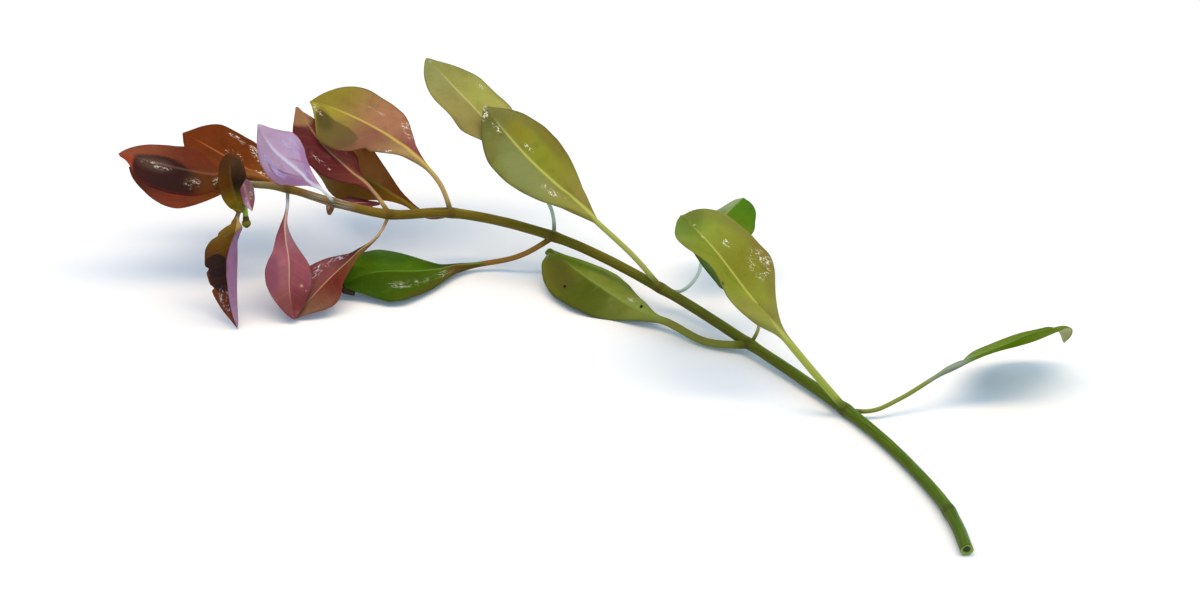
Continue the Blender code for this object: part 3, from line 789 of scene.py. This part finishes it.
# The seventh pair: a leaf seen from its lilac underside, with a white midrib and crimson streaks, and
# a short one that has stayed small under the stem.
grow("leaf_7_upper", "node_7",
     [(-47, 27.5, 20), (-52, 30.5, 23), (-56, 33, 25.5), (-59, 36, 29)],
     dict(petiole=(0.3, 4.5), blade=(11.6, 0.55), fullness=(1, 2.2), roll=(90, 95, 95), fold=(0, 0),
          wave=(0.12, 2, 0)),
     dict(right=[(132, 72, 76), (130, 70, 72), (128, 66, 66)],
          left=[(132, 72, 76), (130, 70, 72), (128, 66, 66)],
          under=[(196, 152, 182), (243, 203, 225), (237, 200, 214)],
          rib=(250, 250, 252), rib_width=0.6, petiole=(200, 206, 190), edge=(150, 96, 130), veins=0.15,
          mottle=(0.1, 0.45), through=0.45, glow=(238, 208, 238), slim=2.4, painted_glint_colour=(196, 198, 255),
          glint_strength=1,
          patches=[(0.4, 0.72, 3.6, 1.1, 10, (158, 84, 128), 0.7, 0.5),
                   (0.32, -0.7, 3, 0.9, -10, (176, 104, 150), 0.6, 0.5),
                   (0.5, 0.5, 3.2, 0.22, 12, (140, 62, 100), 0.7, 0.6),
                   (0.62, 0.68, 2, 0.18, -14, (140, 62, 100), 0.6, 0.6),
                   (0.4, -0.35, 2.4, 0.16, 35, (166, 96, 140), 0.5, 0.6)],
          glint_places=[(0.6, 0.6, 3.4, 1.3), (0.55, -0.6, 3.4, 1.2), (0.25, -0.5, 2, 1)]))
grow("leaf_7_under", "node_7",
     [(-46.5, 31.5, 13), (-46.5, 33, 13.5), (-44, 34.5, 13), (-37.5, 37.5, 11.5)],
     dict(petiole=(0.4, 1), blade=(5, 0.55), fullness=(0.9, 2.5), roll=(0, 0, -5), fold=(5, 5)),
     dict(right=[(170, 72, 92), (109, 18, 69), (140, 74, 71)],
          left=[(117, 90, 30), (158, 92, 88), (125, 36, 32)],
          under=[(71, 44, 24), (140, 70, 80), (150, 80, 96)],
          rib=(206, 140, 150), petiole=(140, 88, 54), edge=(140, 50, 66)))


# The eighth pair: a glossy red-brown leaf that points away along the stem, and a mauve-pink one with
# a cream midrib that hangs to the surface beside the sixth pair's.
grow("leaf_8_back", "node_8",
     [(-57, 35.6, 17), (-63, 40.4, 17.5), (-69, 43.4, 19.7), (-74.5, 45.9, 21.8)],
     dict(petiole=(0.4, 4), blade=(14, 0.6), fullness=(0.9, 1.3), roll=(10, 5, -5), fold=(15, 10)),
     dict(right=[(148, 82, 12), (125, 59, 13), (127, 58, 10)],
          left=[(164, 105, 42), (129, 60, 7), (126, 55, 8)],
          under=[(140, 74, 76), (137, 72, 73), (134, 70, 70)],
          rib=(176, 104, 60), petiole=(170, 110, 62), edge=(96, 40, 24), glint_strength=1,
          glint_places=[(0.35, 0.75, 3, 0.9), (0.6, 0.75, 2.2, 0.7), (0.5, 0.2, 2, 0.9),
                  (0.45, -0.25, 1.6, 0.6), (0.15, 0.1, 2.2, 0.6)]))
grow("leaf_8_hanging", "node_8",
     [(-54, 31, 15), (-54.5, 27.5, 12), (-53.5, 23, 8), (-53, 17.5, 4), (-52, 14, 1)],
     dict(petiole=(0.3, 3), blade=(9, 0.6), fullness=(0.9, 2.2), roll=(-25, -20, -10), fold=(5, -5)),
     dict(right=[(133, 67, 78), (181, 110, 119), (138, 78, 73)],
          left=[(179, 130, 140), (165, 90, 101), (125, 55, 53)],
          under=[(170, 116, 132), (167, 112, 127), (164, 108, 122)],
          rib=(220, 190, 150), rib_width=0.24, rib_share=0.7, petiole=(190, 200, 210), edge=(150, 90, 90),
          # The darker purple patch is painted shade, where this leaf and leaf_6_hanging overlap.
          patches=[(0.6, 0.8, 3.4, 1.6, 0, (122, 66, 96), 0.6, 0.4)],
          spots=[(0.68, -0.55, 0.35, (216, 150, 130)), (0.72, -0.8, 0.2, (206, 140, 130))]))


# The last pair and the leaf below the apex: two narrow red leaves that lie over each other, painted
# dark where one shades the other, and one that hangs from the apex, folded along its midrib so that
# the right half shows its lilac underside.
grow("leaf_9_upper", "node_9",
     [(-63.2, 34.6, 19), (-67, 32.5, 20.3), (-72.5, 31.5, 22), (-81.5, 32.5, 24), (-84, 32, 25)],
     dict(petiole=(0.4, 0), blade=(11, 0.55), fullness=(0.8, 1.6), roll=(-30, -25, -15), fold=(-5, -5)),
     dict(right=[(136, 54, 19), (116, 53, 29), (154, 83, 56)],
          left=[(128, 52, 4), (93, 29, 9), (181, 75, 44)],
          under=[(156, 90, 92), (153, 87, 89), (150, 84, 86)],
          rib=(180, 120, 96), rib_share=0.15, petiole=(150, 90, 70), edge=(130, 48, 32), veins=0.05,
          glint_strength=0.5,
          # The first patch, dark brown, is painted shade where leaf_9_lower lies behind it, and the second,
          # pale, is a painted sheen.
          patches=[(0.63, -0.42, 6.3, 4, 3, (50, 28, 27), 0.94, 0.08),
                   (0.72, -0.05, 3.2, 1.4, 0, (120, 96, 84), 0.45, 0.6),
                   (0.3, -0.3, 3.5, 3, 0, (104, 66, 30), 0.6, 0.5)],
          glint_places=[(0.42, -0.5, 1.4, 1.2), (0.25, -0.5, 0.8, 0.8), (0.7, -0.1, 3, 0.7)]))
grow("leaf_9_lower", "node_9",
     [(-63, 35, 16.8), (-66.5, 34.5, 16.8), (-72.5, 35.5, 17.3), (-80, 36.5, 18.7), (-83.5, 37.5, 19.2)],
     dict(petiole=(0.4, 2), blade=(10.5, 0.55), fullness=(0.9, 1.6), roll=(-80, -75, -60), fold=(30, 10)),
     dict(right=[(126, 56, 46), (124, 54, 44), (118, 52, 42)],
          left=[(170, 93, 30), (205, 95, 58), (115, 58, 42)],
          under=[(140, 76, 80), (138, 74, 78), (136, 72, 76)],
          rib=(170, 110, 88), petiole=(140, 80, 62), edge=(94, 38, 32)))
grow("leaf_9_hanging", "apex",
     [(-62.9, 28.4, 14.1), (-62.8, 25.5, 13.2), (-62.5, 22, 11), (-62.5, 17.5, 5.5), (-62, 12, 0.3)],
     dict(petiole=(0.4, 2.4), blade=(11.5, 0.4), fullness=(1.1, 2.4), roll=(-30, 0, 20), fold=(10, 100),
          trims=(((0, 1), (1, 1)), ((0, 0.25), (0.4, 1), (1, 1))),
          notches=[(0.14, 1, 0.3, 0.03), (0.26, 1, 0.12, 0.02), (0.52, 1, 0.12, 0.015),
                   (0.66, 1, 0.14, 0.015)]),
     dict(right=[(138, 110, 36), (112, 66, 26), (136, 70, 42)],
          left=[(204, 176, 104), (96, 56, 30), (96, 44, 26)],
          under=[(160, 120, 160), (175, 121, 160), (182, 137, 168)],
          rib=(190, 150, 130), petiole=(206, 186, 186), edge=(80, 40, 26), painted_glint_colour=(226, 228, 255),
          glint_strength=1,
          # Both dark patches are painted shade.
          patches=[(0.49, 0.62, 2.1, 2.1, 0, (52, 38, 38), 0.9, 0.06),
                   (0.6, 0.58, 2.1, 1.8, 0, (52, 38, 38), 0.9, 0.06)],
          glint_places=[(0.76, 0.5, 2.4, 1.1)]))


# The shoot tip: two unopened leaves round the apex, one olive and one pink, and a green bud with a
# brown band that hangs from the end of the stem.
grow("tip_leaf_olive", "apex",
     [(-62, 28.6, 15.1), (-62.6, 28.5, 17), (-63.4, 29.2, 20.5), (-63.8, 31.2, 25.6)],
     dict(petiole=(0.35, 2.6), blade=(5.3, 0.52), fullness=(0.5, 0.6), roll=(-80, -45, -5), fold=(15, 5),
          trims=(((0, 0.4), (0.36, 0.5), (0.66, 1.5), (1, 1.3)), ((0, 1.1), (1, 1)))),
     # Painted shade: the dark middle of the right half stands for the shade of the leaf behind it.
     dict(right=[(124, 112, 16), (48, 28, 12), (96, 64, 38)],
          left=[(136, 112, 14), (108, 62, 10), (98, 58, 24)],
          under=[(137, 98, 34), (115, 79, 61), (110, 70, 56)],
          rib=(112, 84, 30), rib_share=0.35, petiole=(130, 140, 40), edge=(92, 70, 36)))
grow("tip_leaf_pink", "node_9",
     [(-62.3, 32.6, 19), (-61.9, 32, 18.9), (-61.2, 30.5, 17.5), (-60.1, 28, 15.4)],
     dict(petiole=(0.3, 0), blade=(3.3, 0.4), fullness=(1, 2.2), roll=(25, 25, 20), fold=(10, 10)),
     dict(right=[(161, 109, 124), (181, 109, 142), (243, 189, 205)],
          left=[(161, 98, 142), (159, 126, 119), (156, 88, 96)],
          under=[(170, 120, 130), (168, 116, 126), (166, 112, 122)],
          rib=(196, 150, 150), petiole=(160, 110, 90), edge=(136, 72, 76), glint_strength=1,
          glint_places=[(0.75, 0.3, 1.4, 0.5), (0.6, -0.5, 1, 0.4)]))


def make_bud():
    """The bud: a neck that swells to a blunt head with four soft corners."""
    start, end = Vector((-61.7, 30.2, 15.2)), Vector((-61.4, 28.6, 11.5))
    profile = [(0.0, 0.48), (0.45, 0.5), (0.55, 0.58), (0.65, 0.6), (0.72, 0.78), (0.84, 0.8),
               (0.94, 0.52), (1.0, 0.14)]
    corners, corner_height = 4, 0.06
    bud = new_sheet("tip_bud_fine", 24, 36)
    side, up = square_to((end - start).normalized(), upright=(1, 0, 0))
    shares = bud.data.attributes.new("bud_share", "FLOAT", "POINT")
    for vertex in bud.data.vertices:
        turn, share = 2 * math.pi * vertex.co.x, vertex.co.y + 0.5
        radius = read(profile, share)
        radius *= 1 + corner_height * math.cos(corners * turn) * smooth(share, 0.4, 0.8)
        shares.data[vertex.index].value = share
        out = math.cos(turn) * side + math.sin(turn) * up
        vertex.co = (start.lerp(end, share) + TO_ORIGIN + radius * out) * MM
    close_tube()
    return bud


def bud_finish():
    """Bright green on the neck, a brown band below it, and dark green at the head."""
    finish = Finish("bud_skin")
    bands = [(0.0, (160, 196, 80)), (0.4, (140, 182, 56)), (0.5, (92, 52, 30)), (0.64, (92, 56, 34)),
             (0.72, (120, 118, 10)), (1.0, (70, 72, 4))]
    colour = finish.ramp(finish.attribute("bud_share", finish.NUMBER), bands)
    colour = finish.paint(colour, (150, 160, 90), finish.step(finish.grain(0.5), 0.55, 0.8) * 0.3)
    return finish.done(finish.skin(colour, 0.35, finish.bent(finish.grain(0.4), 0.05), 0.15))


take_place(make_bud(), "tip_bud", bud_finish())


# The surface that the plant lies on: a wide plain white sheet under it, which is not part of it.
bpy.ops.object.select_all(action="DESELECT")
bpy.ops.mesh.primitive_plane_add(size=4.0, location=(0, 0, -0.00002))
surface = bpy.context.object
surface.name = "white_surface"
paper = Finish("white_paper")
surface.data.materials.append(paper.done(paper.node("ShaderNodeBsdfPrincipled", {}, {
    "Base Color": (0.9, 0.9, 0.9, 1), "Roughness": 0.7, "Specular IOR Level": 0.1})))


# The light: a long warm strip of a lamp nearly overhead, a weak bluish one low on the right, and an
# even bluish surround that fills the shadows.
def soft_lamp(name, place, size, watts, tint, turn):
    bpy.ops.object.light_add(type="AREA", location=place, rotation=turn)
    lamp = bpy.context.object
    lamp.name = name
    lamp.data.shape = "RECTANGLE"
    lamp.data.size, lamp.data.size_y = size
    lamp.data.energy = watts
    lamp.data.color = tint


soft_lamp("overhead_lamp", (0.03, 0.012, 0.5), (0.8, 0.16), 2.3, (1, 0.74, 0.46), (0, 0, 0))
soft_lamp("side_lamp", (0.9, 0.1, 0.35), (0.4, 0.4), 1.5, (0.72, 0.88, 1),
          (0, math.radians(69), math.radians(6)))
world = bpy.data.worlds.new("pale_surround")
bpy.context.scene.world = world
world.use_nodes = True
world.node_tree.nodes["Background"].inputs["Color"].default_value = (0.6, 0.79, 1.0, 1)
world.node_tree.nodes["Background"].inputs["Strength"].default_value = 0.93
bpy.context.scene.view_settings.view_transform = "Standard"


# The camera: a long lens that looks down on the plant from the front, as the photograph does.
bpy.ops.object.camera_add(location=(0.003, -0.3924, 0.257))
camera = bpy.context.object
camera.name = "front_camera"
camera.data.lens = 80
camera.data.sensor_width = 36
camera.data.clip_start = 0.01
look_at = Vector((0.003, 0.0189, 0.0))
camera.rotation_euler = (look_at - camera.location).to_track_quat("-Z", "Y").to_euler()
bpy.context.scene.camera = camera
